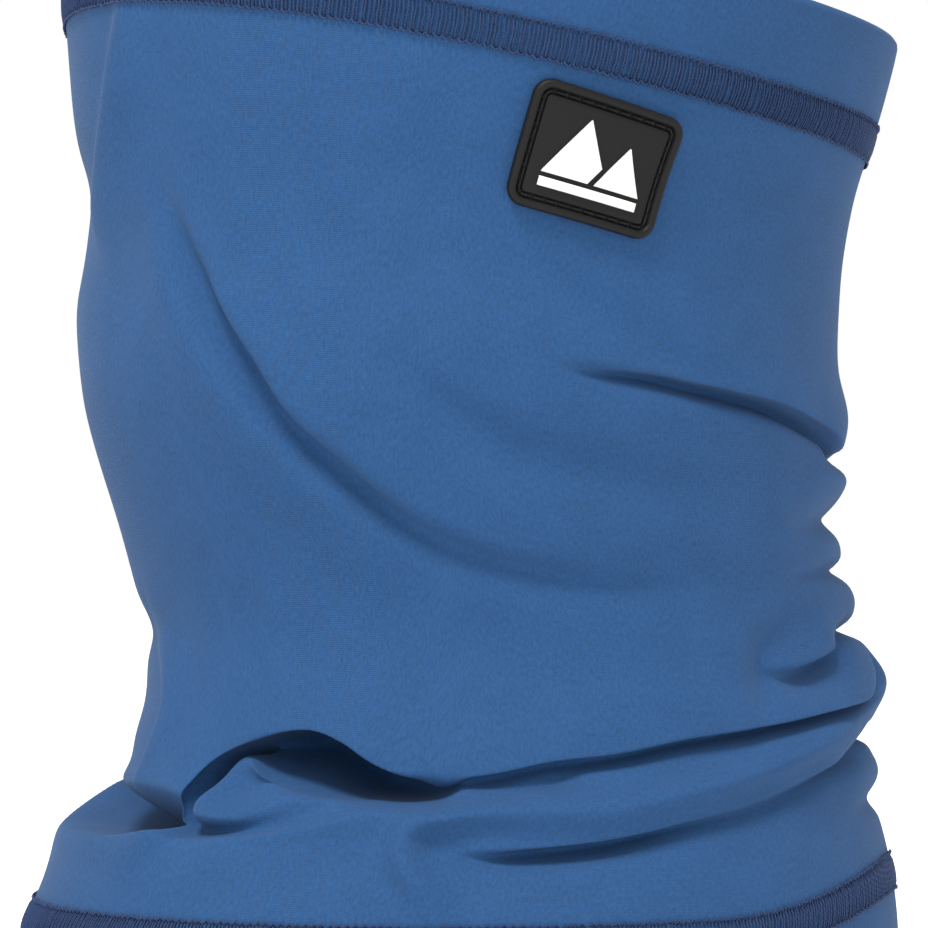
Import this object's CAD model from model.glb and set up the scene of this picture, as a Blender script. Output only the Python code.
import math

import bpy
import numpy as np
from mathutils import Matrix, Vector


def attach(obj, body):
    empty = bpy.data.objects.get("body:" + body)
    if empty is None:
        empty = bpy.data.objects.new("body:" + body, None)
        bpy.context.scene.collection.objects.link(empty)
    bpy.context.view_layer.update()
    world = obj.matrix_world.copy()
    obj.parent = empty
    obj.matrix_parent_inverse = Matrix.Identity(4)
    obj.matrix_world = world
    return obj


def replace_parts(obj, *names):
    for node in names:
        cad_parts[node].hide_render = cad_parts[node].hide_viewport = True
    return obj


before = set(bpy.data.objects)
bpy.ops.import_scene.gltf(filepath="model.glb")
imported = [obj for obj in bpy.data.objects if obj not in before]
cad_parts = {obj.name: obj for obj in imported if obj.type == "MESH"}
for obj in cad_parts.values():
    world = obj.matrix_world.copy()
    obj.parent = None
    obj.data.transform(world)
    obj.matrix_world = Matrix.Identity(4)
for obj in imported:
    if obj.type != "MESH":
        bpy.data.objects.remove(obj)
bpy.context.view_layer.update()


# ---------------------------------------------------------------------------------------------------------
# The studio: a white sweep to stand on, soft boxes above and in front, and the camera at the wearer's left
# cheek, level with the middle of the gaiter.
# ---------------------------------------------------------------------------------------------------------
MM = 0.001
CAMERA_AZIMUTH = math.radians(60)
CAMERA_DISTANCE = 1.0
CAMERA_TARGET = Vector((-0.00054, 0.00161, 0.0988))
CAMERA_LENS = 216.1
CAMERA_SENSOR = 36.0
FLOOR_HALF = 4.0
FLOOR_Z = -0.0002
toward_camera = Vector((math.sin(CAMERA_AZIMUTH), -math.cos(CAMERA_AZIMUTH), 0.0))

camera = bpy.data.objects.new("camera", bpy.data.cameras.new("camera"))
camera.data.lens = CAMERA_LENS
camera.data.sensor_width = CAMERA_SENSOR
camera.data.clip_end = 20.0
camera.location = CAMERA_TARGET + CAMERA_DISTANCE * toward_camera
camera.rotation_euler = (-toward_camera).to_track_quat("-Z", "Y").to_euler()
bpy.context.collection.objects.link(camera)
bpy.context.scene.camera = camera


def studio_floor(half, rows):
    """A flat square of white paper: x and y run over a grid from -half to half, at a z just under nought."""
    x, y = np.meshgrid(np.linspace(-half, half, rows), np.linspace(-half, half, rows))
    corners = np.stack([x.ravel(), y.ravel(), np.full(x.size, FLOOR_Z)], -1)
    k = np.arange((rows - 1) * (rows - 1))
    k = k + k // (rows - 1)
    quads = np.stack([k, k + 1, k + 1 + rows, k + rows], -1)
    mesh = bpy.data.meshes.new("studio_floor")
    mesh.from_pydata(corners.tolist(), [], quads.tolist())
    return bpy.data.objects.new("studio_floor", mesh)


floor = studio_floor(FLOOR_HALF, 3)
bpy.context.collection.objects.link(floor)
paper = bpy.data.materials.new("floor_paper")
paper.use_nodes = True
paper_shader = paper.node_tree.nodes["Principled BSDF"]
paper_shader.inputs["Base Color"].default_value = (0.9, 0.9, 0.9, 1)
paper_shader.inputs["Roughness"].default_value = 0.9
paper_shader.inputs["Emission Color"].default_value = (1, 1, 1, 1)
paper_shader.inputs["Emission Strength"].default_value = 0.25
floor.data.materials.append(paper)

world = bpy.data.worlds.new("studio")
world.use_nodes = True
world.node_tree.nodes["Background"].inputs["Color"].default_value = (1.0, 1.0, 1.0, 1)
world.node_tree.nodes["Background"].inputs["Strength"].default_value = 1.0
bpy.context.scene.world = world
bpy.context.scene.view_settings.view_transform = "Standard"


def soft_box(name, side, out, up, size, watts):
    """An area lamp, side metres to the camera's right, out metres towards it, up metres high, facing in."""
    to_right = Vector((math.cos(CAMERA_AZIMUTH), math.sin(CAMERA_AZIMUTH), 0.0))
    lamp = bpy.data.objects.new(name, bpy.data.lights.new(name, "AREA"))
    lamp.data.energy = watts
    lamp.data.shape = "DISK"
    lamp.data.size = size
    lamp.location = side * to_right + out * toward_camera + Vector((0, 0, up))
    aim = Vector((0, 0, 0.1)) - lamp.location
    lamp.rotation_euler = aim.to_track_quat("-Z", "Y").to_euler()
    bpy.context.collection.objects.link(lamp)


soft_box("key_above", -0.3, 0.7, 1.4, 0.5, 24.0)
soft_box("fill_front", 0.1, 1.6, 0.5, 1.0, 3.0)


# ---------------------------------------------------------------------------------------------------------
# Knit tube: one length of polyester and elastane jersey, cut to flat size and joined up the back. Each end
# is turned in once as a hem. The wearer's shape and the spare length throw it into rolls, creases and
# hollows, each given below as a path over the cloth.
# ---------------------------------------------------------------------------------------------------------
CLOTH_UP = 187.0
HEM_DEPTH = 22.0
HEM_ZONE = 26.0
FOLD_RADIUS = 1.35
ARC = 71.0 * math.pi / 180  # millimetres to a degree round the tube
KNIT_FLAT = (0.47, 0.344)
NAPE_HEIGHT = 174.0
FRONT_RISE = 26.0
RISE_POWER = 1.5
SHOULDER_LIFT = 7.5
SHOULDER_TURN = 143.0
SHOULDER_HALF = 48.0
SIDE_TO_DEPTH = 0.92
AXIS_BACK = 2.55

# How far the cloth reaches before and behind the tube's axis at each height.
REACH_AT = [0, 16, 27, 37, 47, 58, 68, 79, 89, 99, 109, 119, 134, 147, 160, 175, 200]
REACH_FRONT = [84, 82, 76.5, 71, 64, 60.5, 59, 61, 64, 67.5, 70.5, 71.5, 69.5, 70, 72, 73, 75]
REACH_BACK = [78, 78.5, 77.5, 75, 73, 71.5, 70, 69, 68, 67.5, 67, 67, 68, 70.5, 75.3, 79.6, 81]


def reach(height, reaches):
    """The reach at a height: straight lines through the reaches, in quarter-millimetre steps, rounded by a
    moving average whose weights fall off as a bell 5 mm wide."""
    fine = np.linspace(-20, 230, 1001)
    half = 60
    bell = np.exp(-((np.arange(-half, half + 1) / 20.0) ** 2))
    rough = np.interp(fine, REACH_AT, reaches)
    rounded = np.convolve(np.pad(rough, half, mode="edge"), bell / bell.sum(), mode="valid")
    return np.interp(height, fine, rounded)


def edge_heights(turn):
    """Heights of the lower and upper edge: the lower lifts in a smooth hump behind the left shoulder, the
    upper climbs from the nape to the nose as a power of the cosine."""
    away = (np.mod(turn - SHOULDER_TURN + 180, 360) - 180) / SHOULDER_HALF
    low = SHOULDER_LIFT * np.cos(np.clip(away, -1, 1) * math.pi / 2) ** 2
    high = NAPE_HEIGHT + FRONT_RISE * ((1 + np.cos(np.radians(turn))) / 2) ** RISE_POWER
    return low, high


def body_point(turn, up):
    """A point of the smooth body under the folds and its outward direction: an ellipse at each height, a
    little narrower than deep, with its middle where the front and back reaches put it."""
    low, high = edge_heights(turn)
    share = (up - HEM_ZONE) / (CLOTH_UP - 2 * HEM_ZONE)
    height = low + HEM_ZONE + (high - low - 2 * HEM_ZONE) * share
    height = np.where(up <= HEM_ZONE, low + up, height)
    height = np.where(up >= CLOTH_UP - HEM_ZONE, high - (CLOTH_UP - up), height)
    front, back = reach(height, REACH_FRONT), reach(height, REACH_BACK)
    depth = (front + back) / 2
    side = SIDE_TO_DEPTH * depth
    a = np.radians(turn)
    out = np.stack([np.sin(a) / side, -np.cos(a) / depth, np.zeros_like(a)], -1)
    out /= np.linalg.norm(out, axis=-1, keepdims=True)
    middle = (back - front) / 2 - depth * np.cos(a) + AXIS_BACK
    place = np.stack([side * np.sin(a), middle, height], -1)
    return place, out


def smooth_path(points, pieces):
    """A path through points of (turn, up, strength): a Catmull-Rom curve in equal steps between points."""
    p = np.array(points, float)
    p = np.vstack([2 * p[0] - p[1], p, 2 * p[-1] - p[-2]])
    t = np.linspace(0, 1, pieces, endpoint=False)[:, None]
    spans = [
        0.5 * (2 * b + (c - a) * t + (2 * a - 5 * b + 4 * c - d) * t**2 + (3 * b - a - 3 * c + d) * t**3)
        for a, b, c, d in zip(p[:-3], p[1:-2], p[2:-1], p[3:])
    ]
    return np.vstack(spans + [p[-2:-1]])


def beside(turn, up, points):
    """For each place on the cloth, its distance in millimetres to the left of the path, and the path's
    strength and leftward direction at its nearest point."""
    path = smooth_path(points, 8) * [ARC, 1, 1]
    x, y = turn * ARC, up
    best = np.full(x.shape, 1e9)
    offset, strength, left = np.zeros(x.shape), np.zeros(x.shape), np.zeros(x.shape + (2,))
    for (xa, ya, sa), (xb, yb, sb) in zip(path[:-1], path[1:]):
        length = max(math.hypot(xb - xa, yb - ya), 1e-6)
        ex, ey = (xb - xa) / length, (yb - ya) / length
        t = np.clip(((x - xa) * ex + (y - ya) * ey) / length, 0, 1)
        dx, dy = x - xa - t * length * ex, y - ya - t * length * ey
        far = np.hypot(dx, dy)
        nearer = far < best
        best[nearer] = far[nearer]
        offset[nearer] = (np.sign(ex * dy - ey * dx) * far)[nearer]
        strength[nearer] = (sa + (sb - sa) * t)[nearer]
        left[nearer] = (-ey, ex)
    return offset, np.clip(strength, 0, None), left


UNDER_WIDTHS = 2.4  # widths of the turned-under bell between a lap's edge and its crease
# Each fold's path and its bells: centre, whether it moves with the drop, out, left and right width, drop.
FOLDS = []


def fold(points, out, above, below, drop=0):
    """Adds a soft ridge, or a valley where out is negative: the cloth moves out, and slides to the path's
    right, by bell-shaped amounts that fall off over one width on its left and another on its right."""
    FOLDS.append((points, [(0, 0, out, above, below, drop)]))


def lap(points, lift, drop, above, depth, gap, inner, below):
    """Adds an overlap whose visible edge is the path: the cloth on the left of the path is lifted and slides
    over to end there, turns under, goes in to a crease a gap beyond the path, and comes out again."""
    under = (drop + gap) / UNDER_WIDTHS
    FOLDS.append((points, [(drop, 1, lift, above, under, drop), (-gap, 0, -depth, inner, below, 0)]))


# The upper panel's hanging edge: down the lobe under the chin, in an arch over the hollow, and on round to
# the shoulder, where it ends in the inner roll.
lap([(17, 33, 0), (15, 36, 0.6), (14, 39, 0.9), (14, 42, 1), (15.5, 45, 1), (18.5, 47.4, 1), (23, 49.4, 1),
     (29, 51.3, 1), (34, 51.7, 1), (39, 50, 1), (44, 47, 1), (49, 45.4, 0.8), (54, 45.4, 0.4), (58, 45.6, 0)],
    2.2, 5.6, 7, 6, 1.4, 2.2, 2.4)
lap([(51, 45.4, 0), (56, 45.4, 0.5), (62, 46.2, 1), (70, 48.5, 1), (80, 50.2, 1), (92, 53.2, 1),
     (104, 54.7, 1), (118, 55, 1), (130, 54.8, 0.9), (140, 55.4, 0.4), (147, 57, 0)],
    2.2, 3.2, 8, 3.6, 1.1, 1.6, 1.3)
# The hollow under that arch and the small one inside the lobe, then the crest of the tucked roll below them.
fold([(21.5, 49, 0), (25, 49, 0.6), (29, 48.6, 1.2), (34, 47.4, 1.4), (41, 45, 1.3), (47, 43, 0.7),
      (58, 43, 0)], -36, 3, 2.6)
fold([(15.5, 40.5, 0), (16.5, 43, 0.8), (18, 45.5, 0.9), (20, 47.3, 0.5), (22, 48.6, 0)], -12, 2, 1.7)
lap([(17.5, 42, 0), (19, 45.6, 0.6), (21.5, 47.4, 1), (24, 46.4, 1), (28, 43.8, 1), (34, 42.2, 1),
     (42, 41, 0.9), (48, 40.6, 0.5), (56, 40.4, 0)][::-1], 0.8, 2.8, 2.4, 6, 1.2, 1.4, 2.2)
# The roll tucked under the arch, with the small curl at its end.
fold([(20, 45, 0), (18.4, 43, 0.7), (18.4, 41, 1), (20, 39, 1), (25, 37.4, 1), (34, 37, 0.9),
      (44, 38.4, 0.6), (54, 40.4, 0.3), (60, 42, 0)], 3, 1.6, 2.6)
fold([(21.5, 45.4, 0), (22.5, 42.8, 1), (26, 41, 1), (33, 40.6, 0.7), (42, 41, 0)], -3.8, 1.6, 1.3)
# The collar: a rim that stands away from the lobe, with a deep pocket between them.
lap([(60, 40.5, 0), (50, 39, 0.4), (41, 37, 0.8), (31, 35.5, 0.9), (22, 34.6, 1), (11, 34.2, 1),
     (0, 34.2, 1), (-12, 34.2, 1), (-22, 34.8, 1), (-32, 35.9, 1), (-51, 40.8, 1), (-62, 47, 1),
     (-80, 52.5, 1), (-100, 52.5, 0.8), (-130, 49, 0.5), (-165, 47, 0)], 1.4, 2, 5, 3.8, 1, 1.1, 1.5)
fold([(-120, 55, 0), (-85, 55, 0.6), (-62, 50, 1), (-45, 41.6, 1), (-30, 37.8, 1), (-14, 36.9, 1), (0, 37, 1),
      (8, 37, 0.5), (15, 37, 0)], -9, 2.4, 2.2, drop=8)
fold([(-120, 57, 0), (-85, 56, 0.6), (-62, 50.8, 1), (-45, 42, 1), (-30, 37.8, 1), (-14, 36.8, 1),
      (-4, 37, 0.8), (4, 37.4, 0.4), (12, 38, 0)], -22, 2.6, 2.4)
fold([(-120, 59, 0), (-85, 58, 0.7), (-62, 53.5, 1), (-48, 46.5, 1), (-38, 42, 0)], -12, 5, 3)
# The notch and the tuck on the chin side of the lobe.
fold([(-75, 66, 0), (-55, 66, 0.8), (-30, 66, 1), (-15, 66, 0.8), (0, 66, 0.3), (10, 66, 0)], -1.8, 4.5, 4)
fold([(-75, 53, 0), (-55, 53, 0.8), (-30, 53, 1), (-15, 53, 0.8), (-2, 53, 0.3), (8, 53, 0)], -2.4, 10, 9)
fold([(-75, 46, 0), (-55, 46, 0.8), (-30, 43.6, 1), (-15, 43, 0.7), (-4, 43, 0.2), (4, 43, 0)], -3, 4.5, 3.6)
# The lens-shaped fold where the tucked roll runs under the panel.
fold([(54, 40.5, 0), (60, 42, 0.8), (66, 43.4, 1), (72, 45, 1), (76, 47, 0)], -2.6, 1.4, 1)
# The lower roll: a curl below the jaw that goes round to the shoulder, and the slit beneath it.
fold([(60, 22, 0), (55, 28, 0.8), (52, 34, 1.1), (53.5, 38.5, 1.1), (60, 40.5, 1), (68, 41.5, 1),
      (79, 42.5, 1), (92, 45, 1), (106, 48, 0.9), (118, 49.5, 0.6), (132, 50, 0)], 4.6, 2.2, 3)
lap([(58, 33.8, 0), (62, 33.9, 0.3), (67, 34.3, 0.8), (74, 35, 1), (80, 36, 1), (86, 37.5, 0.8),
     (93, 39.3, 0.5), (102, 41, 0.35), (114, 43, 0.35), (130, 44.3, 0.5), (142, 45, 0)],
    1.4, 2.2, 4, 5, 1, 1.1, 2.2)
# The outer roll behind the shoulder, with the inner roll nested in it, and the dimple beside it.
fold([(104, 53, 0), (114, 53, 0.3), (126, 54, 0.7), (138, 56, 1), (150, 57.5, 1.2), (165, 58, 1.1),
      (185, 57, 0.8), (215, 56, 0.3), (240, 56, 0)], 5, 8.5, 8.5)
lap([(140, 69.4, 0), (134, 67.6, 0.5), (128, 66.2, 1), (121, 65.6, 1), (114, 65.6, 0.7),
     (107, 66.5, 0)][::-1],
    1.4, 1.4, 3.4, 4, 1.2, 1.2, 2.4)
fold([(104, 60, 0), (107, 64, 0.8), (110, 68.5, 0.9), (118, 71, 0.6), (128, 72, 0)], -2.4, 3.4, 3.4)
fold([(128, 55, 0), (136, 55.6, 0.8), (142, 57.5, 1), (146, 60.5, 0.7), (148, 64, 0)], -2.4, 1.8, 1.8)
# Bumps and notches up the nape side.
fold([(122, 45, 0), (134, 45.6, 0.6), (146, 46, 1), (165, 46, 0.9), (195, 46, 0)], -4, 1.5, 1.5)
fold([(124, 39, 0), (136, 39, 0.7), (150, 39, 1), (168, 39, 0.8), (195, 39, 0)], 1.8, 4, 4)
fold([(126, 32.3, 0), (138, 32.3, 0.6), (150, 32.3, 1), (168, 32.3, 0.8), (195, 32.3, 0)], -1.6, 2.4, 2.4)
fold([(128, 68.5, 0), (138, 68, 0.7), (150, 68, 1), (168, 68, 0.8), (195, 68, 0)], -4.4, 1.5, 1.5)
fold([(116, 75, 0), (134, 75, 0.7), (150, 74.3, 1), (168, 74, 0.8), (195, 74, 0)], 1.8, 4, 4)
fold([(116, 81.5, 0), (134, 80.8, 0.6), (150, 80.2, 1), (168, 80, 0.8), (195, 80, 0)], -3, 1.6, 1.6)
fold([(118, 91, 0), (132, 91, 0.6), (146, 91, 1), (165, 90.5, 0.8), (190, 90, 0)], -3.4, 3, 3)
fold([(120, 99.4, 0), (135, 99.4, 0.6), (147, 99.4, 1), (165, 99, 0.8), (190, 98, 0)], 1.6, 3.2, 3.2)
# The slit behind the left cheek.
lap([(76, 116.4, 0), (81, 116.8, 0.3), (86, 117.1, 0.6), (92, 117.1, 0.8), (99, 116.6, 0.9), (107, 115.8, 1),
     (117, 114, 1.1), (131, 109.6, 1), (141, 106, 0.5), (150, 104.3, 0)], 2, 3.2, 10, 5.4, 0.9, 1.1, 1.5)
fold([(132, 105, 0), (142, 104, 0.8), (150, 103.7, 1), (168, 103, 0.7), (190, 103, 0)], -3, 1.5, 2)
fold([(128, 113, 0), (140, 113, 0.8), (150, 113, 1), (168, 113, 0.7), (190, 113, 0)], 1.8, 7, 6)
# The long valley from the jaw to the shoulder: sharp on its cheek side, with a soft ridge on its chin side.
lap([(12, 142, 0), (14, 135, 0.3), (18, 128.5, 0.6), (25, 118, 0.9), (31, 110.5, 1), (36, 102.5, 1),
     (43, 96, 1), (50, 89.5, 0.9), (57, 85.5, 0.7), (67, 82.5, 0.5), (80, 81, 0.3), (96, 81.5, 0)],
    1.5, 0.9, 8, 3.2, 1.7, 1.5, 4)
fold([(12, 140, 0), (13, 128, 0.7), (15, 121, 1), (20, 114, 1), (25, 108, 1), (30, 101, 1), (36, 94, 0.8),
      (44, 87, 0.5), (56, 80, 0)], 1.9, 2.6, 8)
fold([(60, 83, 0), (76, 80, 0.7), (96, 80, 0.6), (114, 79.5, 0.6), (136, 77.5, 0.5), (150, 77, 0)],
    -1.5, 5, 6)
# Calmer folds of the same kind round the nape and the wearer's right side.
lap([(150, 57, 0), (175, 54, 0.8), (200, 52, 1), (230, 51, 1), (260, 52, 1), (285, 54, 0.8), (305, 56, 0.4),
     (320, 57, 0)], 2.4, 4, 8, 6, 1.4, 2, 2.4)
lap([(165, 70, 0), (185, 71, 0.8), (210, 72, 1), (235, 70, 1), (258, 67, 0.6), (278, 65, 0)],
    2.2, 3.2, 7, 5, 1.2, 1.7, 2.2)
lap([(168, 85, 0), (190, 86.5, 0.8), (215, 86, 1), (240, 83, 0.9), (264, 79, 0.5), (285, 76, 0)],
    2.2, 3, 7, 4.6, 1.2, 1.6, 2.2)
lap([(165, 101, 0), (190, 102, 0.8), (215, 104, 1), (240, 107, 0.8), (260, 111, 0.4), (276, 115, 0)],
    1.8, 2.6, 9, 4, 1.2, 1.5, 2.4)
lap([(245, 82, 0), (270, 84, 0.6), (292, 90, 0.9), (308, 98, 0.9), (319, 106, 0.5), (328, 113, 0)],
    1.4, 1, 8, 3, 1.6, 1.4, 4)
lap([(198, 40, 0), (218, 39, 0.7), (243, 38, 1), (268, 37, 0.9), (290, 37, 0.5), (306, 38, 0)],
    1.8, 2.4, 5, 5, 1.1, 1.4, 2.4)
# Softer creases across the cheek.
fold([(50, 116, 0), (56, 109.5, 0.6), (62, 105, 1), (70, 101, 1), (80, 99.5, 0.8), (95, 99, 0.5),
      (115, 97, 0)], -2, 3, 6)
fold([(68, 137, 0), (78, 130, 0.7), (87, 125, 1), (98, 121.5, 0.8), (112, 120, 0)], -1.8, 2.6, 6)
# The ridge beside the nose with the notch and swell on its far side, and the facet line down the lobe.
fold([(-75, 136, 0), (-55, 136, 0.8), (-30, 136, 1), (-20, 136.5, 0.5), (-12, 137, 0)], -1.9, 6, 5)
fold([(-75, 120, 0), (-55, 120, 0.8), (-30, 120, 1), (-15, 119, 0.5), (0, 118, 0)], 1.2, 7, 7)
fold([(-13, 129, 0), (-10, 133, 0.6), (-5, 139, 0.9), (0, 146.5, 1), (4, 156, 1), (6, 163, 0.7), (6, 174, 0)],
     2.4, 2.6, 8, drop=-0.8)
fold([(-3, 38, 0), (-2, 42, 0.6), (-1, 48, 1), (-0.5, 54, 1), (-3, 60, 0.8), (-8, 65, 0.5), (-14, 69, 0)],
     1.7, 2.2, 6)


def cloth_rows():
    """Places up the cloth, from the lower fold to the upper, closer together where the folds are."""
    return np.concatenate([
        np.linspace(0, 28, 18, endpoint=False),
        np.linspace(28, 66, 86, endpoint=False),
        np.linspace(66, 122, 78, endpoint=False),
        np.linspace(122, CLOTH_UP, 42),
    ])


def cloth_columns():
    """Places round the cloth, closer together on the front and the left, where the folds are finest."""
    return np.concatenate([
        np.linspace(-120, -50, 36, endpoint=False),
        np.linspace(-50, 158, 258, endpoint=False),
        np.linspace(158, 240, 44, endpoint=False),
    ])


FOLD_DEEPEST = 22.0
BELL_ENDS = 2.6  # a bell is as good as nought beyond this many of its widths
HEM_STILL = 2.0  # the folds leave this much of the lower hem alone,
HEM_CALM = 18.0  # and grow to their full size over this much more
SMOOTHINGS = 3
SMOOTHING = 0.25  # the share of the way each point moves to its neighbours' mean, each way
turns = cloth_columns()
ups = cloth_rows()
COLUMNS = len(turns)


def folded_cloth():
    """The outer face as a grid of points, rows up the cloth by columns round it: the smooth body, with every
    fold's slide over the body and movement out from it added up. Movement inwards levels off, by a hyperbolic
    tangent, at the room there is between the cloth and the neck."""
    turn, up = np.meshgrid(turns, ups)
    slide, outward = np.zeros(turn.shape + (2,)), np.zeros(turn.shape)
    for points, bells in FOLDS:
        reach_mm = max(abs(centre) + BELL_ENDS * max(left_width, right_width)
                       for centre, _, _, left_width, right_width, _ in bells)
        middle = sum(p[0] for p in points) / len(points)
        near_turn = np.mod(turn - middle + 180, 360) - 180 + middle
        low, high = min(p[1] for p in points) - reach_mm, max(p[1] for p in points) + reach_mm
        first, last = min(p[0] for p in points) - reach_mm / ARC, max(p[0] for p in points) + reach_mm / ARC
        near = (up > low) & (up < high) & (near_turn > first) & (near_turn < last)
        offset, strength, left = beside(near_turn[near], up[near], points)
        for centre, with_drop, out, left_width, right_width, drop in bells:
            off = offset - centre * (strength if with_drop else 1)
            bell = strength * np.exp(-((off / np.where(off > 0, left_width, right_width)) ** 2))
            outward[near] += out * bell
            slide[near] -= drop * bell[:, None] * left
    outward = np.where(outward < 0, FOLD_DEEPEST * np.tanh(outward / FOLD_DEEPEST), outward)
    fade = np.clip((up - HEM_STILL) / HEM_CALM, 0, 1)
    place, direction = body_point(turn + fade * slide[..., 0] / ARC, up)
    place = place + (fade * outward)[..., None] * direction
    place[..., 2] += fade * slide[..., 1]
    return place


grid = folded_cloth()
for _ in range(SMOOTHINGS):
    beside_mean = (np.roll(grid, 1, 1) + np.roll(grid, -1, 1)) / 2
    above_mean = (grid[:-2] + grid[2:]) / 2
    grid[1:-1] += SMOOTHING * (beside_mean[1:-1] - grid[1:-1]) + SMOOTHING * (above_mean - grid[1:-1])


def face_directions(points):
    """Outward unit directions over a closed grid: the cross product of the steps round it and up it."""
    around = np.roll(points, -1, 1) - np.roll(points, 1, 1)
    out = np.cross(around, np.gradient(points, axis=0))
    return out / np.linalg.norm(out, axis=-1, keepdims=True)


outward_of = face_directions(grid)


def on_cloth(turn, up, lift):
    """Points lift millimetres off the outer face and the outward directions there: the grid's four nearest
    points, weighted by nearness."""
    wrapped = np.mod(turn - turns[0], 360) + turns[0]
    column = np.interp(wrapped, np.append(turns, turns[0] + 360), np.arange(COLUMNS + 1))
    row = np.clip(np.interp(up, ups, np.arange(len(ups))), 0, len(ups) - 1.001)
    c, r = np.floor(column).astype(int) % COLUMNS, np.floor(row).astype(int)
    fc, fr = (column - np.floor(column))[..., None], (row - r)[..., None]
    right = (c + 1) % COLUMNS

    def blend(values):
        low = values[r, c] * (1 - fc) + values[r, right] * fc
        high = values[r + 1, c] * (1 - fc) + values[r + 1, right] * fc
        return low * (1 - fr) + high * fr

    out = blend(outward_of)
    out = out / np.linalg.norm(out, axis=-1, keepdims=True)
    return blend(grid) + np.asarray(lift)[..., None] * out, out


def hem_section(edge, inward):
    """One end's rows beyond the outer face, as (up, lift, past): a half circle round the folded edge, then
    the turned-in cloth behind, whose last rows close on the wall at its raw edge."""
    half_circle = np.radians([30, 60, 90, 120, 150])
    round_edge = [(FOLD_RADIUS, -FOLD_RADIUS * (1 - math.cos(a)), math.sin(a)) for a in half_circle]
    behind = [(up, -2 * FOLD_RADIUS, 0) for up in np.linspace(FOLD_RADIUS, HEM_DEPTH, 12)]
    closing = [(HEM_DEPTH + 0.3, -2.2, 0), (HEM_DEPTH + 0.4, -1.4, 0), (HEM_DEPTH + 0.35, -0.7, 0)]
    return [(abs(edge - up), lift, past * inward) for up, lift, past in round_edge + behind + closing]


def hem_rows(section):
    """The points of those rows: each is lifted off the outer face and moved past the folded edge."""
    rows = []
    for up, lift, past in section:
        place, _ = on_cloth(turns, np.full(COLUMNS, up), np.full(COLUMNS, lift))
        near, _ = on_cloth(turns, np.full(COLUMNS, up - 1.0), np.full(COLUMNS, lift))
        far, _ = on_cloth(turns, np.full(COLUMNS, up + 1.0), np.full(COLUMNS, lift))
        upward = (far - near) / np.linalg.norm(far - near, axis=-1, keepdims=True)
        rows.append(place + past * FOLD_RADIUS * upward)
    return np.array(rows)


ROW_GAP = 0.2
wall = (ups > FOLD_RADIUS + ROW_GAP) & (ups < CLOTH_UP - FOLD_RADIUS - ROW_GAP)
lower_start, _ = on_cloth(turns, np.full(COLUMNS, FOLD_RADIUS), np.zeros(COLUMNS))
upper_end, _ = on_cloth(turns, np.full(COLUMNS, CLOTH_UP - FOLD_RADIUS), np.zeros(COLUMNS))
whole_cloth = np.concatenate([
    hem_rows(hem_section(0, -1))[::-1],
    lower_start[None],
    grid[wall],
    upper_end[None],
    hem_rows(hem_section(CLOTH_UP, 1)),
])


DECIMETRES = 10  # in a metre


def tube_mesh(name, points, flat_width, flat_length):
    """Quads over a grid that closes on itself sideways, with a map in decimetres of flat cloth: across by the
    turn, and along by each column's own length up to that row, scaled to the cut length."""
    rows, cols = points.shape[:2]
    steps = np.linalg.norm(np.diff(points, axis=0), axis=-1)
    along = np.concatenate([np.zeros((1, cols)), np.cumsum(steps, axis=0)])
    along *= flat_length / along[-1]
    r, c = [v.ravel() for v in np.meshgrid(np.arange(rows - 1), np.arange(cols), indexing="ij")]
    after = (c + 1) % cols
    quads = np.stack([r * cols + c, r * cols + after, (r + 1) * cols + after, (r + 1) * cols + c], -1)
    side = (np.append(turns, turns[0] + 360) - turns[0]) / 360 * flat_width
    across = np.stack([side[c], side[c + 1], side[c + 1], side[c]], -1)
    up = np.stack([along[r, c], along[r, after], along[r + 1, after], along[r + 1, c]], -1)
    mesh = bpy.data.meshes.new(name)
    mesh.from_pydata((points.reshape(-1, 3) * MM).tolist(), [], quads.tolist())
    flat = np.stack([across, up], -1) * DECIMETRES
    mesh.uv_layers.new(name="flat_cloth").data.foreach_set("uv", flat.ravel())
    mesh.shade_smooth()
    return mesh


def make_piece(name, mesh, material):
    """Puts a finished mesh in the scene as a piece of the gaiter, riding on its one body."""
    piece = bpy.data.objects.new(name, mesh)
    bpy.context.collection.objects.link(piece)
    mesh.materials.append(material)
    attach(piece, "root")
    return piece


def new_material(name, colour, roughness, specular):
    """A material with plain sockets set, its shader node and its node tree."""
    material = bpy.data.materials.new(name)
    material.use_nodes = True
    shader = material.node_tree.nodes["Principled BSDF"]
    shader.inputs["Base Color"].default_value = (*colour, 1)
    shader.inputs["Roughness"].default_value = roughness
    shader.inputs["Specular IOR Level"].default_value = specular
    return material, shader, material.node_tree


def add_node(tree, kind, values=None, **settings):
    """A node with its settings and the values of its input sockets."""
    node = tree.nodes.new(kind)
    for key, value in settings.items():
        setattr(node, key, value)
    for key, value in (values or {}).items():
        node.inputs[key].default_value = value
    return node


KNIT_BLUE = (0.0152, 0.0575, 0.151)
COURSE = 0.41
WALE = 0.36


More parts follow.
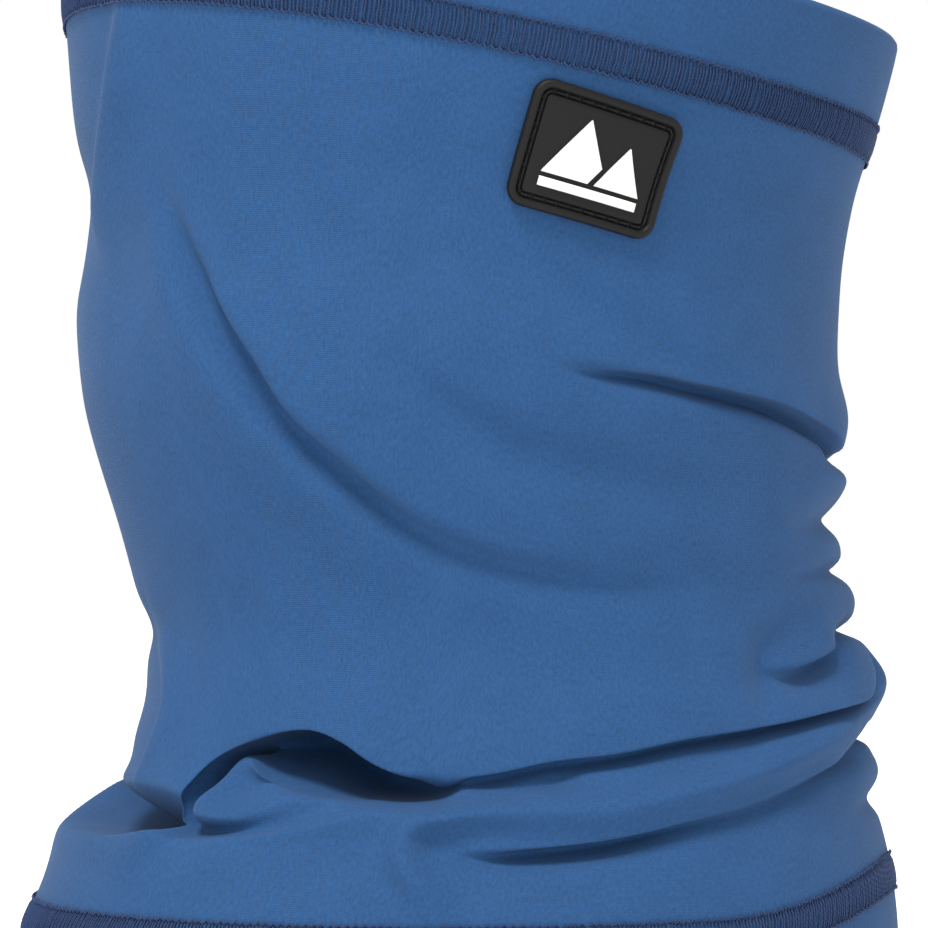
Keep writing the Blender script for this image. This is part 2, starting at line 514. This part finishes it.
def blue_jersey():
    """Matte brushed jersey: fine courses round the tube and fainter wales up it, a little mottled. A wave's
    scale is a tenth of pi over its spacing, and the map is in decimetres."""
    material, shader, tree = new_material("blue_jersey", KNIT_BLUE, 0.9, 0.22)
    shader.inputs["Sheen Weight"].default_value = 0.04
    shader.inputs["Sheen Roughness"].default_value = 0.45
    shader.inputs["Sheen Tint"].default_value = (0.75, 0.86, 1.0, 1)
    link = tree.links.new
    cloth = add_node(tree, "ShaderNodeUVMap", uv_map="flat_cloth")
    courses = add_node(tree, "ShaderNodeTexWave", {"Scale": 10 * math.pi / COURSE, "Distortion": 0.6,
                       "Detail": 1.0, "Detail Scale": 3.0}, bands_direction="Y")
    wales = add_node(tree, "ShaderNodeTexWave", {"Scale": 10 * math.pi / WALE, "Distortion": 1.2,
                     "Detail": 1.0, "Detail Scale": 2.0}, bands_direction="X")
    stretched = add_node(tree, "ShaderNodeMapping", {"Scale": (170.0, 75.0, 1.0)})
    mottle = add_node(tree, "ShaderNodeTexNoise", {"Scale": 1.0, "Detail": 2.0, "Roughness": 0.6})
    patchy = add_node(tree, "ShaderNodeTexNoise", {"Scale": 9.0, "Detail": 3.0, "Roughness": 0.55})
    for pattern in (courses, wales, patchy):
        link(cloth.outputs["UV"], pattern.inputs["Vector"])
    link(cloth.outputs["UV"], stretched.inputs["Vector"])
    link(stretched.outputs["Vector"], mottle.inputs["Vector"])
    knit = add_node(tree, "ShaderNodeMix", {0: 0.3}, data_type="FLOAT")
    link(courses.outputs["Fac"], knit.inputs[2])
    link(wales.outputs["Fac"], knit.inputs[3])
    mixed = add_node(tree, "ShaderNodeMix", {0: 0.62}, data_type="FLOAT")
    link(knit.outputs[0], mixed.inputs[2])
    link(mottle.outputs["Fac"], mixed.inputs[3])
    blotched = add_node(tree, "ShaderNodeMix", {0: 0.18}, data_type="FLOAT")
    link(mixed.outputs[0], blotched.inputs[2])
    link(patchy.outputs["Fac"], blotched.inputs[3])
    ramp = add_node(tree, "ShaderNodeValToRGB")
    ramp.color_ramp.elements[0].position = 0.28
    ramp.color_ramp.elements[0].color = (*[v * 0.7 for v in KNIT_BLUE], 1)
    ramp.color_ramp.elements[1].position = 0.72
    ramp.color_ramp.elements[1].color = (*[v * 1.3 for v in KNIT_BLUE], 1)
    link(blotched.outputs[0], ramp.inputs["Fac"])
    link(ramp.outputs["Color"], shader.inputs["Base Color"])
    bump = add_node(tree, "ShaderNodeBump", {"Strength": 0.25, "Distance": 0.0002})
    link(mixed.outputs[0], bump.inputs["Height"])
    link(bump.outputs["Normal"], shader.inputs["Normal"])
    return material


knit_tube = tube_mesh("jersey_tube", whole_cloth, *KNIT_FLAT)
knit_tube = make_piece("jersey_tube", knit_tube, blue_jersey())
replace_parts(knit_tube, "knit_tube")


# ---------------------------------------------------------------------------------------------------------
# Hem stitching: navy polyester thread, cover-stitched over each hem's raw edge. On the face, a cover thread
# runs to and fro between two rows of needle loops; behind, looper threads cross the raw edge.
# ---------------------------------------------------------------------------------------------------------
STITCH = 1.42
SEAM_WIDTH = 6.6
THREAD = 0.17
EDGE_THREAD = 0.2
LOOPER_THREAD = 0.19
THREAD_SIDES = 5
THREAD_VARIES = (0.9, 1.12)
STITCH_WANDER = 0.05  # along the row, in stitches
POINT_WANDER = 0.03
SIDE_WANDER = 0.06  # across the row, in millimetres


def thread_tubes(centres, outs, radius):
    """Tubes round many paths at once: at each point a ring is set in the plane of the outward direction and
    the sideways one, which is square to it and to the path. Gives all vertices, and faces with capped ends."""
    along = np.gradient(centres, axis=1)
    sideways = np.cross(along, outs)
    sideways /= np.linalg.norm(sideways, axis=-1, keepdims=True)
    up = np.cross(sideways, along)
    up /= np.linalg.norm(up, axis=-1, keepdims=True)
    a = np.arange(THREAD_SIDES) * 2 * math.pi / THREAD_SIDES
    radius = np.broadcast_to(radius, centres.shape[:2])[..., None, None]
    ring = np.cos(a)[:, None] * sideways[:, :, None] + np.sin(a)[:, None] * up[:, :, None]
    vertices = centres[:, :, None] + radius * ring
    count, length = centres.shape[:2]
    start = (np.arange(count) * length * THREAD_SIDES)[:, None, None]
    k = np.arange(length - 1)[None, :, None] * THREAD_SIDES
    j = np.arange(THREAD_SIDES)[None, None, :]
    after = (j + 1) % THREAD_SIDES
    base = start + k
    walls = np.stack([base + j, base + after, base + after + THREAD_SIDES, base + j + THREAD_SIDES], -1)
    first = start[:, 0] + np.arange(THREAD_SIDES)[::-1]
    last = start[:, 0] + (length - 1) * THREAD_SIDES + np.arange(THREAD_SIDES)
    return vertices.reshape(-1, 3), walls.reshape(-1, 4), np.concatenate([first, last])


def thread_mesh(name, groups):
    """One mesh from groups of thread paths, each given as (centres, outward directions, radius)."""
    vertices, faces, total = [], [], 0
    for centres, outs, radius in groups:
        v, walls, caps = thread_tubes(centres, outs, radius)
        vertices.append(v)
        faces += (walls + total).tolist() + (caps + total).tolist()
        total += len(v)
    mesh = bpy.data.meshes.new(name)
    mesh.from_pydata((np.concatenate(vertices) * MM).tolist(), [], faces)
    mesh.shade_smooth()
    return mesh


def hem_paths(first_up, shapes, seed, outer_lift):
    """Every stitch of a ring round the tube. Each shape is a list of (along, up, lift), with along in
    stitches and up from the band's lower side; each stitch wanders a little from it."""
    count = round(KNIT_FLAT[0] * 1000 / STITCH)
    rng = np.random.default_rng(seed)
    groups = []
    for shape, radius in shapes:
        p = np.array(shape)
        t = np.linspace(0, len(p) - 1, 2 * len(p) - 1)
        p = np.stack([np.interp(t, np.arange(len(p)), p[:, i]) for i in range(3)], -1)
        shift = rng.normal(0, STITCH_WANDER, (count, 1)) + rng.normal(0, POINT_WANDER, (count, len(p)))
        along = np.arange(count)[:, None] + p[:, 0] + shift
        up = first_up + p[:, 1] + rng.normal(0, SIDE_WANDER, (count, 1))
        lift = outer_lift(p[:, 2]) + np.zeros((count, 1))
        centres, outs = on_cloth(along * 360 / count, up, lift)
        groups.append((centres, outs, radius * rng.uniform(*THREAD_VARIES, (count, 1))))
    return groups


COVER_SHAPES = [
    ([(0.0, 0.3, 0.0), (0.06, 1.2, 0.42), (0.2, 2.4, 0.5), (0.3, 3.6, 0.5), (0.3, 5.0, 0.42),
      (0.22, 6.2, 0.02)], THREAD),
    ([(0.5, 0.3, 0.0), (0.44, 1.2, 0.4), (0.56, 2.4, 0.52), (0.7, 3.6, 0.5), (0.8, 5.0, 0.42),
      (0.72, 6.2, 0.02)], THREAD),
    ([(-0.15, 0.75, 0.12), (0.15, 0.25, 0.46), (0.55, 0.1, 0.46), (0.85, 0.5, 0.12)], EDGE_THREAD),
    ([(-0.1, 6.15, 0.12), (0.2, 6.55, 0.46), (0.5, 6.35, 0.46), (0.8, 5.95, 0.12)], EDGE_THREAD),
]
LOOPER_SHAPES = [
    ([(0.0, 0.2, 0.1), (0.15, 2.0, 0.35), (0.45, 3.4, 0.4), (0.1, 4.8, 0.35), (0.0, 6.4, 0.1)],
     LOOPER_THREAD),
    ([(0.5, 0.2, 0.1), (0.8, 1.8, 0.4), (0.5, 3.3, 0.3), (0.8, 4.8, 0.4), (0.5, 6.4, 0.1)],
     LOOPER_THREAD),
]


def sewing_thread(name, colour):
    """Matte twisted thread: its plies are a fine slanting wave, lighter on top of each ply."""
    material, shader, tree = new_material(name, colour, 0.8, 0.18)
    shader.inputs["Sheen Weight"].default_value = 0.04
    link = tree.links.new
    place = add_node(tree, "ShaderNodeTexCoord")
    plies = add_node(tree, "ShaderNodeTexWave", {"Scale": 900.0, "Distortion": 2.0, "Detail": 1.0},
                     bands_direction="DIAGONAL")
    fuzz = add_node(tree, "ShaderNodeTexNoise", {"Scale": 700.0, "Detail": 2.0})
    both = add_node(tree, "ShaderNodeMix", {0: 0.5}, data_type="FLOAT")
    ramp = add_node(tree, "ShaderNodeValToRGB")
    ramp.color_ramp.elements[0].color = (*[v * 0.55 for v in colour], 1)
    ramp.color_ramp.elements[1].color = (*[v * 1.7 for v in colour], 1)
    for pattern in (plies, fuzz):
        link(place.outputs["Object"], pattern.inputs["Vector"])
    link(plies.outputs["Fac"], both.inputs[2])
    link(fuzz.outputs["Fac"], both.inputs[3])
    link(both.outputs[0], ramp.inputs["Fac"])
    link(ramp.outputs["Color"], shader.inputs["Base Color"])
    bump = add_node(tree, "ShaderNodeBump", {"Strength": 0.4, "Distance": 0.0001})
    link(both.outputs[0], bump.inputs["Height"])
    link(bump.outputs["Normal"], shader.inputs["Normal"])
    return material


INSIDE_HEM = 2 * FOLD_RADIUS
navy_thread = sewing_thread("navy_thread", (0.0145, 0.03, 0.082))
for end, first_up, seed in (("upper", CLOTH_UP - HEM_DEPTH, 11), ("lower", HEM_DEPTH - SEAM_WIDTH, 12)):
    cover = thread_mesh(end + "_cover_stitches", hem_paths(first_up, COVER_SHAPES, seed, lambda h: h))
    cover = make_piece(end + "_cover_stitches", cover, navy_thread)
    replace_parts(cover, end + "_hem_cover_thread")
    looper = hem_paths(first_up, LOOPER_SHAPES, seed + 10, lambda h: -INSIDE_HEM - h)
    looper = thread_mesh(end + "_looper_stitches", looper)
    looper = make_piece(end + "_looper_stitches", looper, navy_thread)
    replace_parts(looper, end + "_hem_looper_thread")


# ---------------------------------------------------------------------------------------------------------
# Back seam: the tube's two cut edges butted at the nape and joined flat, in the same navy thread, from hem to
# hem. Its cover threads cross on the face and its loopers on the inside.
# ---------------------------------------------------------------------------------------------------------
SEAM_INSIDE = 0.7
SEAM_CLEAR = 0.4  # of the hems' raw edges


def seam_paths(shapes, seed, outer_lift):
    """Every stitch up the back seam: the hems' shapes, turned to run up the cloth and lie across the seam."""
    first, last = HEM_DEPTH + SEAM_CLEAR, CLOTH_UP - HEM_DEPTH - SEAM_CLEAR
    count = round((last - first) / STITCH)
    rng = np.random.default_rng(seed)
    groups = []
    for shape, radius in shapes:
        p = np.array(shape)
        shift = rng.normal(0, STITCH_WANDER, (count, len(p)))
        up = first + (np.arange(count)[:, None] + p[:, 0] + shift) * STITCH
        turn = 180 + (p[:, 1] - SEAM_WIDTH / 2 + rng.normal(0, SIDE_WANDER, (count, 1))) / ARC
        centres, outs = on_cloth(turn, np.clip(up, first, last), outer_lift(p[:, 2]) + np.zeros((count, 1)))
        groups.append((centres, outs, radius * rng.uniform(*THREAD_VARIES, (count, 1))))
    return groups


for face, shapes, seed, lift in (("cover", COVER_SHAPES, 31, lambda h: h),
                                 ("looper", LOOPER_SHAPES, 32, lambda h: -SEAM_INSIDE - h)):
    name = "back_seam_" + face + "_stitches"
    stitches = make_piece(name, thread_mesh(name, seam_paths(shapes, seed, lift)), navy_thread)
    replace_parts(stitches, "back_seam_" + face + "_thread")


# ---------------------------------------------------------------------------------------------------------
# Patch: soft black rubber, moulded in one piece with a raised rim, a sunk channel inside it and a flat field.
# It is laid on the cheek with its top along the hem, and sewn down through the channel.
# ---------------------------------------------------------------------------------------------------------
PATCH_TURN = 79.0
PATCH_HEIGHT = 150.0
PATCH_TILT = math.radians(-15)
PATCH_HALF = (13.75, 10.75)
PATCH_CORNER = 3.2
PATCH_UNDER = 0.06
CHEEK_FROM = 130.0  # the patch's middle is above this place up the cloth
CORNER_POINTS = 9
SIDE_POINTS = 14


def patch_centre_up():
    """The place up the cloth whose height at the patch's turn is the patch's height."""
    heights = on_cloth(np.full(len(ups), PATCH_TURN), ups, np.zeros(len(ups)))[0][:, 2]
    return float(np.interp(PATCH_HEIGHT, heights[ups > CHEEK_FROM], ups[ups > CHEEK_FROM]))


PATCH_UP = patch_centre_up()


def on_patch(x, y, lift):
    """Places on the patch, x and y millimetres from its middle: turned by its tilt from level, then split
    into the cloth's own steps round and up, which slope here, and lifted off the cloth."""
    turn_pair = on_cloth(np.array([PATCH_TURN - 1, PATCH_TURN + 1]), np.full(2, PATCH_UP), np.zeros(2))[0]
    up_pair = on_cloth(np.full(2, PATCH_TURN), np.array([PATCH_UP - 2, PATCH_UP + 2]), np.zeros(2))[0]
    level = np.array([math.cos(math.radians(PATCH_TURN)), math.sin(math.radians(PATCH_TURN)), 0])
    steps = np.array([(turn_pair[1] - turn_pair[0]) / 2, (up_pair[1] - up_pair[0]) / 4])
    frame_steps = np.stack([steps @ level, steps[:, 2]])
    across = x * math.cos(PATCH_TILT) - y * math.sin(PATCH_TILT)
    upward = x * math.sin(PATCH_TILT) + y * math.cos(PATCH_TILT)
    by_turn, by_up = np.linalg.solve(frame_steps, np.stack([across.ravel(), upward.ravel()]))
    turn, up = PATCH_TURN + by_turn.reshape(x.shape), PATCH_UP + by_up.reshape(x.shape)
    return on_cloth(turn, up, np.asarray(lift) + 0 * x)


def rounded_outline(inset):
    """A rectangle with round corners, that much inside the patch's edge: quarter circles and straights."""
    corner = max(PATCH_CORNER - inset, 0.25)
    half = np.array(PATCH_HALF) - inset - corner
    points = []
    for quarter, (sx, sy) in enumerate(((1, 1), (-1, 1), (-1, -1), (1, -1))):
        a = math.pi / 2 * (quarter + np.linspace(0, 1, CORNER_POINTS))
        arc = np.stack([sx * half[0] + corner * np.cos(a), sy * half[1] + corner * np.sin(a)], -1)
        points.append(arc)
    joined = []
    for this, following in zip(points, points[1:] + points[:1]):
        t = np.linspace(0, 1, SIDE_POINTS + 2)[1:-1, None]
        joined += [this, this[-1] + t * (following[0] - this[-1])]
    return np.concatenate(joined)


def moulded_mesh(name, rings):
    """A closed body over rings of (outline, lift): the first ring is filled below, the last above, each by a
    fan to its middle."""
    points = np.array([on_patch(o[:, 0], o[:, 1], lift)[0] for o, lift in rings])
    count = points.shape[1]
    ends = [on_patch(np.array([o[:, 0].mean()]), np.array([o[:, 1].mean()]), lift)[0][0]
            for o, lift in (rings[0], rings[-1])]
    r, c = [v.ravel() for v in np.meshgrid(np.arange(len(rings) - 1), np.arange(count), indexing="ij")]
    after = (c + 1) % count
    here, above = r * count, (r + 1) * count
    faces = np.stack([here + c, here + after, above + after, above + c], -1).tolist()
    c = np.arange(count)
    after = (c + 1) % count
    low, high = points.shape[0] * count, points.shape[0] * count + 1
    top = (len(rings) - 1) * count
    faces += np.stack([after, c, np.full(count, low)], -1).tolist()
    faces += np.stack([top + c, top + after, np.full(count, high)], -1).tolist()
    mesh = bpy.data.meshes.new(name)
    mesh.from_pydata((np.vstack([points.reshape(-1, 3), ends]) * MM).tolist(), [], faces)
    mesh.shade_smooth()
    return mesh


def moulded_rubber(name, colour, roughness):
    """Satin moulded rubber: a plain colour with very fine, soft grain."""
    material, shader, tree = new_material(name, colour, roughness, 0.2)
    link = tree.links.new
    place = add_node(tree, "ShaderNodeTexCoord")
    grain = add_node(tree, "ShaderNodeTexNoise", {"Scale": 2400.0, "Detail": 2.0})
    tone = add_node(tree, "ShaderNodeValToRGB")
    tone.color_ramp.elements[0].color = (*[v * 0.88 for v in colour], 1)
    tone.color_ramp.elements[1].color = (*[v * 1.1 for v in colour], 1)
    bump = add_node(tree, "ShaderNodeBump", {"Strength": 0.15, "Distance": 0.00005})
    link(place.outputs["Object"], grain.inputs["Vector"])
    link(grain.outputs["Fac"], tone.inputs["Fac"])
    link(tone.outputs["Color"], shader.inputs["Base Color"])
    link(grain.outputs["Fac"], bump.inputs["Height"])
    link(bump.outputs["Normal"], shader.inputs["Normal"])
    return material


FIELD_INSET = 3.4
FIELD_LIFT = 1.2
# Each step in from the edge, as (inset, lift): up the side, over the round rim, down the channel, on to the
# field. Before it, rings under the patch let it follow the cheek; after it, rings across the field do.
PATCH_PROFILE = [(0.1, PATCH_UNDER), (0, 0.2), (0, 1.1), (0.12, 1.5), (0.4, 1.75), (0.8, 1.8), (1.15, 1.72),
                 (1.42, 1.4), (1.5, 0.9), (1.62, 0.7), (2.28, 0.7), (2.4, 0.85), (2.48, 1.12), (2.66, 1.2),
                 (FIELD_INSET, FIELD_LIFT)]
patch_rings = [(rounded_outline(0.1) * share, PATCH_UNDER) for share in (0.1, 0.3, 0.5, 0.7, 0.85)]
patch_rings += [(rounded_outline(inset), lift) for inset, lift in PATCH_PROFILE]
patch_rings += [(rounded_outline(FIELD_INSET) * share, FIELD_LIFT) for share in (0.75, 0.5, 0.25, 0.08)]
black_rubber = moulded_rubber("black_rubber", (0.0045, 0.0045, 0.0048), 0.55)
patch = make_piece("moulded_patch", moulded_mesh("moulded_patch", patch_rings), black_rubber)
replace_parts(patch, "patch_base")


CHANNEL_MIDDLE = 1.95
PATCH_STITCH = 2.3


def patch_stitch_paths():
    """Running stitches along the middle of the channel: each is a low hump that dives at both ends."""
    ring = rounded_outline(CHANNEL_MIDDLE)
    closed = np.vstack([ring, ring[:1]])
    length = np.concatenate([[0], np.cumsum(np.linalg.norm(np.diff(closed, axis=0), axis=1))])
    count = round(length[-1] / PATCH_STITCH)
    within = np.array([0.02, 0.16, 0.34, 0.5, 0.66, 0.8, 0.94])
    along = (np.arange(count)[:, None] + within) / count * length[-1]
    x, y = np.interp(along, length, closed[:, 0]), np.interp(along, length, closed[:, 1])
    centres, outs = on_patch(x, y, np.array([0.62, 0.92, 1.06, 1.1, 1.06, 0.92, 0.62]))
    return [(centres, outs, EDGE_THREAD)]


black_thread = sewing_thread("black_thread", (0.0075, 0.0075, 0.0085))
patch_stitches = thread_mesh("patch_stitches", patch_stitch_paths())
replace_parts(make_piece("patch_stitches", patch_stitches, black_thread), "patch_thread")


# ---------------------------------------------------------------------------------------------------------
# Emblem: two mountain peaks and a ground line in white rubber, filled into the patch's mould and standing
# proud of its field.
# ---------------------------------------------------------------------------------------------------------
EMBLEM = {
    "patch_peak_tall": [(-9, -4.2), (-0.6, -4.2), (1.2, -1.1), (-3, 6.2)],
    "patch_peak_small": [(0.6, -4.2), (9, -4.2), (5.1, 3.6)],
    "patch_ground_line": [(-9, -6.6), (9, -6.6), (9, -5), (-9, -5)],
}
EMBLEM_TOP = 1.8
EDGE_POINTS = 16


def shrunk(corners, inset):
    """The outline moved in by that much on every side, its corners where the moved sides meet."""
    p = np.array(corners, float)
    along = np.roll(p, -1, 0) - p
    along /= np.linalg.norm(along, axis=1, keepdims=True)
    inward = np.stack([-along[:, 1], along[:, 0]], -1)
    before, before_in = np.roll(along, 1, 0), np.roll(inward, 1, 0)
    turn = before[:, 0] * along[:, 1] - before[:, 1] * along[:, 0]
    gap = inward - before_in
    step = (gap[:, 0] * along[:, 1] - gap[:, 1] * along[:, 0]) / turn
    p = p + inset * (before_in + step[:, None] * before)
    t = np.linspace(0, 1, EDGE_POINTS, endpoint=False)[:, None]
    return np.concatenate([a + t * (b - a) for a, b in zip(p, np.roll(p, -1, 0))])


white_rubber = moulded_rubber("white_rubber", (0.66, 0.65, 0.63), 0.45)
for node, corners in EMBLEM.items():
    full = shrunk(corners, 0.18)
    rings = [(shrunk(corners, 0), 1.1), (shrunk(corners, 0), 1.66), (shrunk(corners, 0.06), 1.76)]
    rings += [(full, EMBLEM_TOP)]
    middle = full.mean(axis=0)
    rings += [(middle + (full - middle) * share, EMBLEM_TOP) for share in (0.7, 0.35)]
    name = node + "_fill"
    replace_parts(make_piece(name, moulded_mesh(name, rings), white_rubber), node)


# ---------------------------------------------------------------------------------------------------------
# Care label: a blank slip of white woven satin tape inside the tube, caught into the back seam above the
# lower hem and hanging free.
# ---------------------------------------------------------------------------------------------------------
LABEL_WIDTH = 20.0
LABEL_UP = (28.0, 60.0)
LABEL_THICK = 0.5
LABEL_COLUMNS = 28
LABEL_ROWS = 36
LABEL_FROM = 1.5  # from the seam's middle to the sewn end
LABEL_CLEAR = 0.8  # of the innermost fold
LABEL_BULGE = 0.5  # in the middle of its width
STEP_SHARE = 0.3  # of the width, over which it leaves the wall
NEAR_ROWS = 6


def label_mesh():
    """A thin closed slip: its sewn end follows the wall, then a smooth step takes it in to hang just clear of
    the innermost folds within a few rows of it; it has a front, a back and four narrow sides."""
    across, up = np.meshgrid(np.linspace(0, 1, LABEL_COLUMNS), np.linspace(*LABEL_UP, LABEL_ROWS))
    turn = 180 + (LABEL_FROM + across * LABEL_WIDTH) / ARC
    place, out = body_point(turn, up)
    wall = on_cloth(turn, up, np.full(turn.shape, -SEAM_INSIDE - LABEL_THICK))[0]
    inward = ((place - wall) * out).sum(-1).max(1)
    nearby = np.arange(LABEL_ROWS)[:, None] + np.arange(-NEAR_ROWS, NEAR_ROWS + 1)
    nearby = np.clip(nearby, 0, LABEL_ROWS - 1)
    clear = inward[nearby].max(1)[nearby].mean(1)
    inset = clear[:, None] + LABEL_CLEAR + LABEL_BULGE * np.sin(across * math.pi)
    hanging = place - inset[..., None] * out
    free = np.clip(across / STEP_SHARE, 0, 1)[..., None]
    middle = wall + (hanging - wall) * free * free * (3 - 2 * free)
    faces = np.stack([middle + LABEL_THICK / 2 * out, middle - LABEL_THICK / 2 * out])
    index = np.arange(faces[..., 0].size).reshape(faces.shape[:3])

    def quads(a, b, c, d):
        return np.stack([a, b, c, d], -1).reshape(-1, 4)

    outer, inner = index
    faces_of = [
        quads(outer[:-1, :-1], outer[:-1, 1:], outer[1:, 1:], outer[1:, :-1]),
        quads(inner[:-1, :-1], inner[1:, :-1], inner[1:, 1:], inner[:-1, 1:]),
        quads(outer[0, :-1], inner[0, :-1], inner[0, 1:], outer[0, 1:]),
        quads(outer[-1, :-1], outer[-1, 1:], inner[-1, 1:], inner[-1, :-1]),
        quads(outer[:-1, 0], outer[1:, 0], inner[1:, 0], inner[:-1, 0]),
        quads(outer[:-1, -1], inner[:-1, -1], inner[1:, -1], outer[1:, -1]),
    ]
    mesh = bpy.data.meshes.new("care_label_slip")
    mesh.from_pydata((faces.reshape(-1, 3) * MM).tolist(), [], np.concatenate(faces_of).tolist())
    return mesh


def woven_satin():
    """White satin tape: fine lines of weft across it and a soft shine."""
    material, shader, tree = new_material("woven_satin", (0.78, 0.78, 0.79), 0.45, 0.4)
    place = add_node(tree, "ShaderNodeTexCoord")
    weft = add_node(tree, "ShaderNodeTexWave", {"Scale": 700.0, "Distortion": 0.5}, bands_direction="Z")
    bump = add_node(tree, "ShaderNodeBump", {"Strength": 0.2, "Distance": 0.00005})
    tree.links.new(place.outputs["Object"], weft.inputs["Vector"])
    tree.links.new(weft.outputs["Fac"], bump.inputs["Height"])
    tree.links.new(bump.outputs["Normal"], shader.inputs["Normal"])
    return material


care_label = make_piece("care_label_slip", label_mesh(), woven_satin())
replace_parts(care_label, "care_label")
